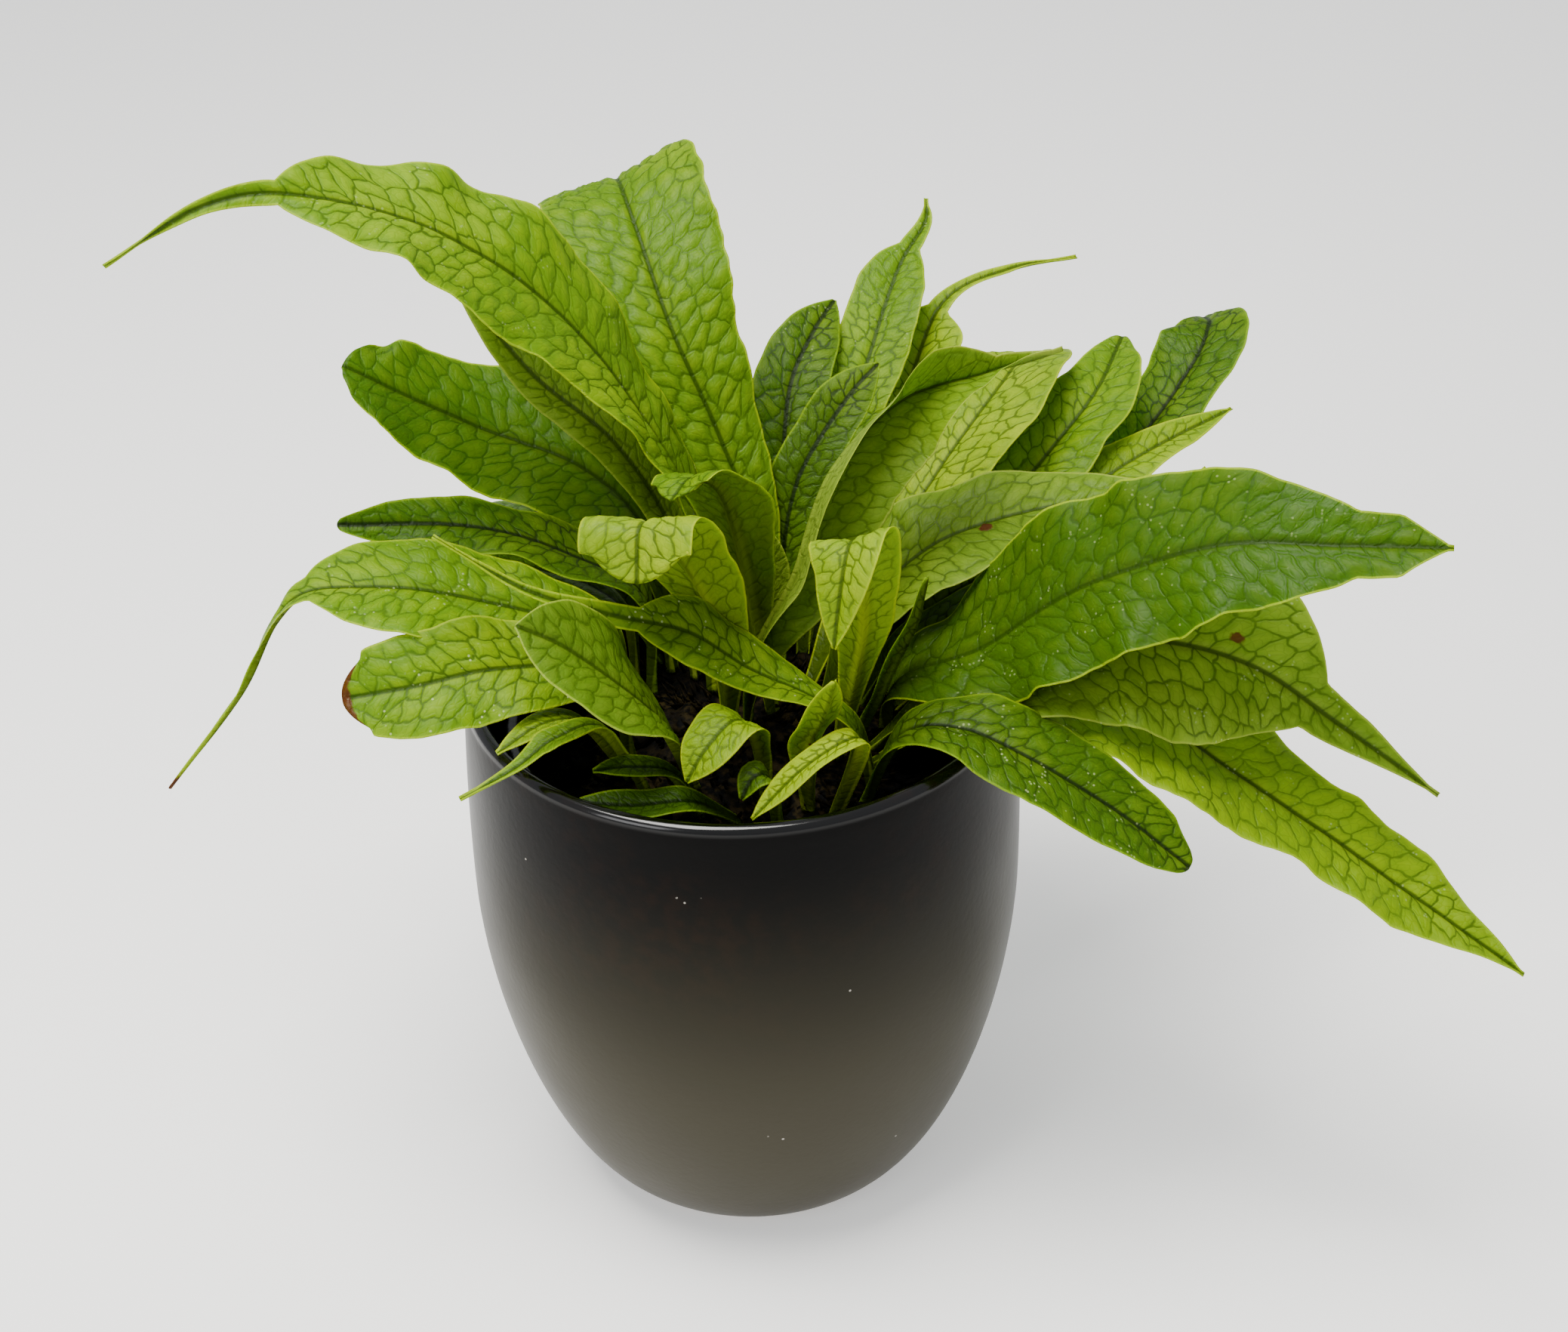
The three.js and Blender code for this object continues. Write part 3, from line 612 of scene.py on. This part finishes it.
def vein_net(tree, place, cell):
    """Distance from a vein in cells, and a random number for each cell. The veins leave the midrib
    at a slant, join up and wander a little."""
    parts = add_node(tree, "ShaderNodeSeparateXYZ", {0: place})
    along, across = parts.outputs[0], parts.outputs[1]
    slanted = maths(tree, "SUBTRACT", along, maths(tree, "MULTIPLY", maths(tree, "ABSOLUTE", across), 0.55))
    side = maths(tree, "MULTIPLY", maths(tree, "SIGN", across), 4.37)
    down = maths(tree, "DIVIDE", slanted, cell)
    out = maths(tree, "ADD", maths(tree, "DIVIDE", across, maths(tree, "MULTIPLY", cell, 1.15)), side)
    spot = add_node(tree, "ShaderNodeCombineXYZ", {0: down, 1: out}).outputs[0]
    wander = add_node(tree, "ShaderNodeTexNoise", {"Vector": spot, "Scale": 1.3, "Detail": 1.0})
    wander = vectors(tree, "SUBTRACT", {0: wander.outputs["Color"], 1: (0.5, 0.5, 0.5)})
    wander = vectors(tree, "SCALE", {0: wander, "Scale": 0.6})
    spot = vectors(tree, "ADD", {0: spot, 1: wander})
    found = []
    for feature, scale in (("DISTANCE_TO_EDGE", 1.0), ("F1", 1.0), ("DISTANCE_TO_EDGE", 2.7)):
        made = add_node(tree, "ShaderNodeTexVoronoi", {"Vector": spot, "Scale": scale, "Randomness": 0.8},
                        voronoi_dimensions="2D", feature=feature)
        found.append(made.outputs["Color" if feature == "F1" else "Distance"])
    return found


# The blisters are real relief: each point of a blade is pushed along its face by how far it is
# from a vein, on both sides of the leaf alike.
blisters = bpy.data.node_groups.new("blisters", "GeometryNodeTree")
blisters.is_modifier = True
blisters.interface.new_socket("Geometry", in_out="INPUT", socket_type="NodeSocketGeometry")
blisters.interface.new_socket("Geometry", in_out="OUTPUT", socket_type="NodeSocketGeometry")
stored = {}
for key in ("place", "leaf", "rise"):
    made = add_node(blisters, "GeometryNodeInputNamedAttribute", data_type="FLOAT_VECTOR")
    made.inputs["Name"].default_value = key
    stored[key] = made.outputs["Attribute"]
cell_size = add_node(blisters, "ShaderNodeSeparateXYZ", {0: stored["leaf"]}).outputs[1]
vein_distance = vein_net(blisters, stored["place"], cell_size)[0]
dome = ramp(blisters, vein_distance, 0.0, 0.34)
push = vectors(blisters, "SCALE", {0: stored["rise"], "Scale": dome})
incoming = add_node(blisters, "NodeGroupInput").outputs[0]
moved = add_node(blisters, "GeometryNodeSetPosition", {"Geometry": incoming, "Offset": push}).outputs[0]
add_node(blisters, "NodeGroupOutput", {0: moved})

# What every frond's skin shares: its veins, pale blisters and margin, spots and scale marks.
frond_skin = bpy.data.node_groups.new("frond skin", "ShaderNodeTree")
SKIN_PARTS = ("Blister", "Between", "Vein", "Margin", "Underside")
for key in SKIN_PARTS:
    frond_skin.interface.new_socket(key, in_out="INPUT", socket_type="NodeSocketColor")
frond_skin.interface.new_socket("Color", in_out="OUTPUT", socket_type="NodeSocketColor")
frond_skin.interface.new_socket("Roughness", in_out="OUTPUT", socket_type="NodeSocketFloat")
frond_skin.interface.new_socket("Height", in_out="OUTPUT", socket_type="NodeSocketFloat")
given = add_node(frond_skin, "NodeGroupInput").outputs
stored = {key: add_node(frond_skin, "ShaderNodeAttribute", attribute_name=key).outputs["Vector"]
          for key in ("place", "leaf", "look")}
place = add_node(frond_skin, "ShaderNodeSeparateXYZ", {0: stored["place"]}).outputs
leaf = add_node(frond_skin, "ShaderNodeSeparateXYZ", {0: stored["leaf"]}).outputs
look = add_node(frond_skin, "ShaderNodeSeparateXYZ", {0: stored["look"]}).outputs
net, cell_random, fine_net = vein_net(frond_skin, stored["place"], leaf[1])
spot = add_node(frond_skin, "ShaderNodeTexCoord").outputs["Object"]
patches = cloudy(frond_skin, spot, 26, 3)
mottle = cloudy(frond_skin, spot, 240, 3)
from_midrib = maths(frond_skin, "ABSOLUTE", place[1])
from_vein = maths(frond_skin, "MULTIPLY", net, leaf[1])
inland = ramp(frond_skin, place[2], 0.0006, 0.003)
upper = maths(frond_skin, "SUBTRACT", 1.0, leaf[0])
paleness = maths(frond_skin, "MULTIPLY", ramp(frond_skin, from_vein, 0.0003, 0.003), 0.5)
paleness = maths(frond_skin, "ADD", paleness, ramp(frond_skin, patches, 0.3, 0.75, -0.3, 0.6))
paleness = maths(frond_skin, "ADD", paleness, ramp(frond_skin, cell_random, 0.1, 0.9, -0.14, 0.14))
paleness = maths(frond_skin, "ADD", paleness, ramp(frond_skin, mottle, 0.3, 0.7, -0.1, 0.1))
paleness = add_node(frond_skin, "ShaderNodeClamp", {0: paleness}).outputs[0]
colour = mixed(frond_skin, paleness, given["Between"], given["Blister"])
# Painted light: the shift to dark green or yellow is partly each frond's own colour and partly painted
# light, lighter on fronds that sit in shade.
tone_and_light_share = ramp(frond_skin, look[0], 0.0, -1.0)
colour = mixed(frond_skin, tone_and_light_share, colour, tint(30, 58, 0))
tone_and_light_share = ramp(frond_skin, look[0], 0.0, 1.0)
colour = mixed(frond_skin, tone_and_light_share, colour, tint(150, 170, 14))
colour = mixed(frond_skin, maths(frond_skin, "MULTIPLY", leaf[0], 0.6), colour, given["Underside"])
fine_vein = maths(frond_skin, "MULTIPLY", ramp(frond_skin, fine_net, 0.1, 0.03), 0.16)
colour = mixed(frond_skin, maths(frond_skin, "MULTIPLY", fine_vein, inland), colour, given["Vein"])
vein = maths(frond_skin, "MULTIPLY", ramp(frond_skin, from_vein, 0.0005, 0.00012), inland)
vein = maths(frond_skin, "MULTIPLY", vein, ramp(frond_skin, patches, 0.35, 0.65, 0.42, 0.75))
colour = mixed(frond_skin, maths(frond_skin, "MULTIPLY", vein, ramp(frond_skin, upper, 0, 1, 0.8, 1.0)),
               colour, given["Vein"])
grown = ramp(frond_skin, leaf[2], 0.1, 0.3)
midrib = maths(frond_skin, "MULTIPLY", ramp(frond_skin, from_midrib, 0.0011, 0.0004),
               ramp(frond_skin, upper, 0, 1, 0.6, 1.0))
midrib = maths(frond_skin, "MULTIPLY", midrib, grown)
colour = mixed(frond_skin, maths(frond_skin, "MULTIPLY", midrib, 0.85), colour, given["Vein"])
pale_rib = maths(frond_skin, "MULTIPLY", ramp(frond_skin, from_midrib, 0.0022, 0.001),
                 maths(frond_skin, "MULTIPLY", leaf[0], ramp(frond_skin, leaf[2], 0.55, 0.3)))
colour = mixed(frond_skin, maths(frond_skin, "MULTIPLY", pale_rib, 0.7), colour, given["Margin"])
stalk = maths(frond_skin, "MULTIPLY", ramp(frond_skin, leaf[2], 0.28, 0.06), 0.8)
colour = mixed(frond_skin, stalk, colour, tint(44, 60, 10))
colour = mixed(frond_skin, ramp(frond_skin, place[2], 0.00085, 0.0004, 0.0, 0.85), colour, given["Margin"])
browned = maths(frond_skin, "ADD", look[1], ramp(frond_skin, mottle, 0.2, 0.8, -0.35, 0.35))
colour = mixed(frond_skin, ramp(frond_skin, browned, 0.3, 0.6), colour, tint(72, 40, 14))
dots = add_node(frond_skin, "ShaderNodeTexVoronoi", {"Vector": stored["place"], "Scale": 420.0},
                voronoi_dimensions="2D").outputs["Distance"]
dotted = maths(frond_skin, "MULTIPLY", ramp(frond_skin, dots, 0.2, 0.08),
               ramp(frond_skin, cloudy(frond_skin, stored["place"], 130, 3), 0.56, 0.66))
dotted = maths(frond_skin, "MULTIPLY", maths(frond_skin, "MULTIPLY", dotted, look[2]), upper)
colour = mixed(frond_skin, dotted, colour, tint(148, 162, 108))
roughness = ramp(frond_skin, patches, 0.3, 0.7, 0.42, 0.54)
roughness = maths(frond_skin, "ADD", roughness, maths(frond_skin, "MULTIPLY", leaf[0], 0.14))
relief = ramp(frond_skin, fine_net, 0.0, 0.25, 0.0, 0.35)
relief = maths(frond_skin, "ADD", relief, maths(frond_skin, "MULTIPLY", mottle, 0.3))
relief = maths(frond_skin, "ADD", relief, ramp(frond_skin, from_vein, 0.0001, 0.0008, 0.0, 1.0))
add_node(frond_skin, "NodeGroupOutput", {0: colour, 1: roughness, 2: relief})


def new_skin(name, **colours):
    finish, tree, shader = new_finish(name, specular_ior_level=0.1)
    shader.inputs["Subsurface Weight"].default_value = 0.3
    shader.inputs["Subsurface Radius"].default_value = (0.7, 1.0, 0.25)
    shader.inputs["Subsurface Scale"].default_value = 0.0025
    shared = tree.nodes.new("ShaderNodeGroup")
    shared.node_tree = frond_skin
    for key in SKIN_PARTS:
        shared.inputs[key].default_value = colours[key.lower()]
    tree.links.new(shared.outputs["Color"], shader.inputs["Base Color"])
    tree.links.new(shared.outputs["Roughness"], shader.inputs["Roughness"])
    bumpy(tree, shader, shared.outputs["Height"], 0.0002, 0.7)
    return finish


skins = {
    "bright": new_skin("bright frond", blister=tint(106, 132, 0), between=tint(78, 108, 0),
                       vein=tint(36, 56, 0), margin=tint(122, 144, 14), underside=tint(100, 116, 16)),
    "deep": new_skin("deep green frond", blister=tint(80, 104, 0), between=tint(54, 78, 0),
                     vein=tint(14, 26, 0), margin=tint(92, 118, 12), underside=tint(76, 94, 14)),
    "lime": new_skin("lime frond", blister=tint(122, 142, 0), between=tint(96, 122, 0),
                     vein=tint(44, 62, 0), margin=tint(132, 150, 14), underside=tint(108, 136, 0)),
    "olive": new_skin("olive frond", blister=tint(104, 128, 32), between=tint(82, 108, 20),
                      vein=tint(42, 60, 8), margin=tint(118, 136, 44), underside=tint(104, 122, 40)),
}
frond_pieces = []


# Fronds that lean out to the left: the longest arches high and turns its back, two bear thin
# drooping tails, one has had its end cut and browned, and the rest lie between them.
add_frond("long_left", "bright", (-8, 14),
          [(-14, 27, 44), (-46, 31, 102), (-82, 25, 137), (-119, 12, 156), (-146, 2, 158),
           (-176, -6, 143)],
          width=25, widest=0.46, tail=0.27, roll=(0, 20, 35, 20, 60, 120), tone_and_light=-0.05, cell=9.5,
          ruffle=1.3, specks=0.3)
# Painted light: this frond is coloured lighter to make up for the shade it sits in.
add_frond("twisted_left", "olive", (-14, 24),
          [(-20, 36, 25), (-38, 42, 58), (-64, 50, 80), (-88, 57, 112)],
          width=8, roll=(0, 40, 60, 60), tone_and_light=0.15, cell=6)
add_frond("left_blunt", "bright", (-22, 32),
          [(-30, 48, 22), (-52, 57, 43), (-86, 61, 57), (-124, 55, 82)],
          width=26, widest=0.5, blunt=0.45, roll=(0, 30, 35, 30), tone_and_light=-0.55, cell=8.5,
          spots=[(0.52, 0.35, 2.6)])
add_frond("left_dark", "deep", (-28, 18),
          [(-30, 20, 14), (-50, 19, 30), (-82, 18, 43), (-124, 12, 48)],
          width=13.5, widest=0.5, blunt=0.15, roll=(0, 5, 12, 60), tone_and_light=-0.1, cell=7.5, ruffle=1.2)
add_frond("left_tailed", "bright", (-34, -2),
          [(-40, -4, 14), (-64, -8, 27), (-96, -12, 38), (-126, -16, 42), (-140, -20, 34),
           (-153, -27, 12), (-177, -36, -16)],
          width=20, widest=0.45, tail=0.38, tail_width=6, roll=(0, 30, 25, 10, -20, -20), cell=8.5,
          ruffle=1.1, specks=0.7, burnt_tip=7)
add_frond("left_cut", "bright", (-34, -16),
          [(-42, -22, 13), (-72, -34, 23), (-96, -41, 22), (-118, -44, 20)],
          width=17, blunt=0.5, roll=(0, 30, 40, 40), tone_and_light=0.05, cell=8, specks=0.9, burnt_tip=5)
add_frond("left_olive", "olive", (-34, 26),
          [(-36, 30, 0), (-48, 32, 12), (-68, 30, 21), (-96, 24, 34)],
          width=8, roll=(0, 20), cell=5.5)


# Upright fronds at the centre and back: one tall and broad, tipped back so that its blistered
# upper side faces the front, with narrower ones around it.
add_frond("tall_broad", "bright", (2, 24),
          [(7, 37, 20), (-5, 51, 55), (-20, 66, 88), (-32, 94, 114), (-38, 118, 118),
           (-40, 142, 98)],
          width=28, facing=110, widest=0.76, blunt=0.6, roll=(0, 0, 0, 10, 18, 18), tone_and_light=-0.25,
          cell=8.5, pucker=0.9, ruffle=0.8, specks=0.1)
add_frond("centre_olive", "olive", (4, 16),
          [(9, 18, 10), (9, 20, 28), (1, 22, 46)],
          width=7, facing=250, tone_and_light=-0.3, cell=5)
add_frond("centre_dark", "deep", (12, 28),
          [(14, 40, 14), (20, 50, 40), (36, 62, 62), (47, 70, 71)],
          width=10, facing=70, tone_and_light=-0.1, cell=6)
add_frond("back_dark", "deep", (10, 40),
          [(14, 52, 8), (15, 66, 34), (18, 84, 56), (26, 100, 68), (34, 114, 74)],
          width=13, facing=85, tone_and_light=-0.15, cell=6.5, specks=0.3)
add_frond("back_tailed", "bright", (20, 38),
          [(23, 56, 7), (31, 74, 32), (43, 94, 56), (56, 124, 80), (66, 140, 90), (67, 148, 96)],
          width=13, facing=75, tail=0.25, tone_and_light=-0.1, cell=6.5, specks=0.3)
add_frond("back_lime", "lime", (28, 32),
          [(34, 60, 2), (45, 80, 26), (58, 102, 46), (72, 124, 68), (96, 137, 74), (120, 146, 74)],
          width=16, facing=60, tail=0.35, cell=7)


# Fronds to the right: one seen edge on from its stalk, its half blades folded together, and a fan
# of broad ones that spread and droop past the rim.
add_frond("main_arching", "olive", (2, -6),
          [(6, -4, 8), (18, -1, 32), (30, 7, 64), (52, 20, 82), (78, 28, 87), (102, 34, 92)],
          width=22, tail=0.12, fold=55, roll=(-40, -95, -105, -95, -50, 20), cell=7.5, ruffle=0.7)
add_frond("lime_right", "lime", (20, 10),
          [(36, 34, 6), (56, 50, 26), (72, 66, 42), (88, 84, 55), (98, 104, 56), (104, 120, 48)],
          width=22, facing=45, blunt=0.2, cell=7.5, ruffle=0.7)
add_frond("green_right", "bright", (30, 20),
          [(46, 28, 5), (78, 50, 18), (108, 74, 40), (122, 90, 51), (133, 116, 57)],
          width=17, facing=40, blunt=0.2, tone_and_light=0.05, cell=8, specks=0.2)
add_frond("spotted_right", "olive", (24, 0),
          [(38, 8, 12), (60, 15, 33), (92, 21, 42), (134, 22, 48)],
          width=21, widest=0.5, roll=(0, -15, -22, -20), tone_and_light=0.05, cell=8, spots=[(0.6, 0.1, 3.2)])
add_frond("great_right", "bright", (44, -4),
          [(50, -8, 0), (74, -17, 15), (102, -29, 43), (139, -45, 66), (172, -57, 72),
           (201, -65, 75)],
          width=27, widest=0.5, tail=0.08, tail_width=10, roll=(0, -15, -40, -45, -40, -30),
          ruffle=1.5, tone_and_light=-0.65, cell=9, pucker=0.7, specks=0.35)
# Painted light: this frond is coloured lighter to make up for the shade it sits in under great_right.
add_frond("olive_right", "olive", (40, -14),
          [(60, -18, -2), (86, -22, 11), (118, -28, 24), (152, -36, 20), (182, -46, 2),
           (211, -54, -18)],
          width=30, widest=0.6, tail=0.2, tail_width=8, roll=(0, -15, -45, -50, -45), tone_and_light=0.1,
          cell=8.5, specks=0.5, spots=[(0.62, -0.2, 2.4)])
add_frond("long_right", "bright", (38, -24),
          [(60, -24, -8), (86, -23, 4), (124, -32, -1), (160, -46, -21), (196, -62, -42),
           (237, -80, -67)],
          width=24, widest=0.5, tail=0.14, tail_width=16, roll=(0, -10, -30, -35, -30), tone_and_light=0.3,
          cell=9, ruffle=1.3, specks=0.5)
add_frond("dark_right", "deep", (36, -40),
          [(48, -46, 4), (66, -51, 9), (86, -59, 3), (112, -68, -11), (133, -76, -26)],
          width=17, blunt=0.3, roll=(0, -10, -15, -15), cell=7.5, specks=0.6)
add_frond("curled_far_right", "deep", (44, 30),
          [(62, 40, 4), (104, 78, 9), (134, 96, 22), (158, 118, 44), (166, 134, 52),
           (167, 150, 48)],
          width=16, facing=40, widest=0.7, blunt=0.3, tone_and_light=-0.1, cell=6.5, ruffle=1.4)
add_frond("pointed_far_right", "lime", (46, 20),
          [(62, 27, 2), (89, 42, 13), (126, 64, 33), (167, 87, 43)],
          width=12, facing=40, cell=6.5)
add_frond("pale_far_right", "lime", (48, 10),
          [(68, 7, 0), (92, 17, 7), (120, 34, 18), (154, 56, 37)],
          width=11, facing=30, tone_and_light=0.1, cell=6)
add_frond("inner_right", "deep", (36, 6),
          [(50, 12, -2), (70, 15, 8), (92, 18, 18), (112, 22, 27)],
          width=11, roll=(0, -10), tone_and_light=-0.3, cell=6)
add_frond("inner_upright", "deep", (36, -8),
          [(46, -14, 6), (53, -17, 24), (57, -18, 42)],
          width=7, facing=330, tone_and_light=-0.3, cell=5)


# Young and folded fronds at the front: tips that flop forward over themselves, a bright strip that
# crosses from right to left, and short ones low over the mix.
add_frond("front_left", "olive", (-14, -34),
          [(-22, -44, 8), (-34, -53, 28), (-48, -57, 44), (-62, -60, 54)],
          width=19, widest=0.6, roll=(0, 45), tone_and_light=-0.35, cell=7.5, ruffle=0.7)
add_frond("bright_strip", "bright", (42, -32),
          [(36, -34, -2), (22, -30, 8), (4, -27, 16), (-14, -29, 31), (-38, -32, 40),
           (-62, -33, 50), (-88, -28, 66)],
          width=13, widest=0.55, tail=0.32, roll=(0, 0, 20, 40, 20), tone_and_light=-0.25, cell=8, specks=0.8)
add_frond("folded_left", "lime", (-4, -12),
          [(-4, -11, 13), (-10, -16, 38), (-22, -27, 66), (-27, -38, 73), (-28, -47, 59)],
          width=18, facing=250, widest=0.65, blunt=0.8, tone_and_light=0.1, cell=7.5, ruffle=0.9)
add_frond("curled_bright", "bright", (10, 0),
          [(5, 8, 16), (1, 6, 42), (-4, -4, 66), (-12, -14, 76), (-18, -24, 74)],
          width=14, facing=250, blunt=0.6, tone_and_light=-0.25, cell=6.5, ruffle=1.5)
add_frond("folded_front", "lime", (30, -20),
          [(35, -22, 8), (38, -28, 32), (37, -37, 60), (34, -44, 70), (31, -53, 64), (28, -58, 42)],
          width=13, facing=270, widest=0.64, tone_and_light=0.05, cell=6.5, ruffle=0.8)
add_frond("young_front", "lime", (20, -44),
          [(20, -48, 2), (24, -52, 14), (28, -57, 31)],
          width=8, facing=300, cell=4.5, spots=[(0.5, 0, 1.6)])
add_frond("pale_front", "lime", (28, -48),
          [(36, -56, 6), (32, -60, 12), (18, -65, 5), (3, -71, -8)],
          width=6, facing=225, widest=0.75, tone_and_light=0.35, cell=4.5, ruffle=0.8)
add_frond("small_front_dark", "deep", (12, -52),
          [(9, -58, -3), (4, -61, 0), (0, -64, -6)],
          width=5, facing=200, tone_and_light=-0.1, cell=4.5)
add_frond("curled_front", "lime", (8, -38),
          [(5, -43, 2), (-1, -51, 14), (-10, -59, 9), (-16, -63, 0)],
          width=10, facing=225, cell=5)
add_frond("low_front", "deep", (0, -50),
          [(-14, -60, -9), (-32, -64, -7), (-50, -64, -5)],
          width=6, tone_and_light=-0.4, cell=5)
add_frond("low_left", "deep", (-12, -46),
          [(-20, -48, -7), (-32, -51, -2), (-44, -54, -1)],
          width=6, tone_and_light=-0.3, cell=5)
add_frond("small_left", "lime", (-34, -26),
          [(-46, -34, 2), (-58, -44, 10), (-72, -55, 7)],
          width=6, tone_and_light=0.1, cell=5)
add_frond("slim_left", "bright", (-26, -40),
          [(-40, -45, 8), (-54, -55, 12), (-66, -63, 7), (-82, -71, 2)],
          width=5, tail=0.4, tone_and_light=0.1, cell=5)


# Low fronds at the back, which arch out close over the rim and finish the side away from the
# front. All of them curve down at their tips.
add_frond("back_low_left", "bright", (-12, 44),
          [(-30, 80, 12), (-56, 112, 12), (-80, 132, -8)],
          width=18, tone_and_light=-0.1, cell=8)
add_frond("back_low_centre", "deep", (0, 48),
          [(-2, 84, 16), (-6, 118, 20), (-8, 152, 0)],
          width=18, cell=8)
add_frond("back_low_right", "bright", (24, 48),
          [(40, 84, 11), (50, 120, 14), (58, 152, -10)],
          width=14, tone_and_light=-0.1, cell=7)
add_frond("back_far_right", "deep", (36, 40),
          [(50, 60, 6), (66, 84, 13), (84, 112, 10), (102, 136, -4)],
          width=13, cell=6.5)
add_frond("back_far_left", "deep", (-26, 42),
          [(-52, 66, 6), (-84, 90, 6), (-114, 106, -10)],
          width=17, cell=7.5)


# Each blade is kept as it looks with its blisters raised, with nothing left to work out later.
shown = bpy.context.evaluated_depsgraph_get()
raised = [bpy.data.meshes.new_from_object(piece.evaluated_get(shown)) for piece in frond_pieces]
for piece, mesh in zip(frond_pieces, raised):
    mesh.name = piece.name
    piece.modifiers.clear()
    piece.data = mesh
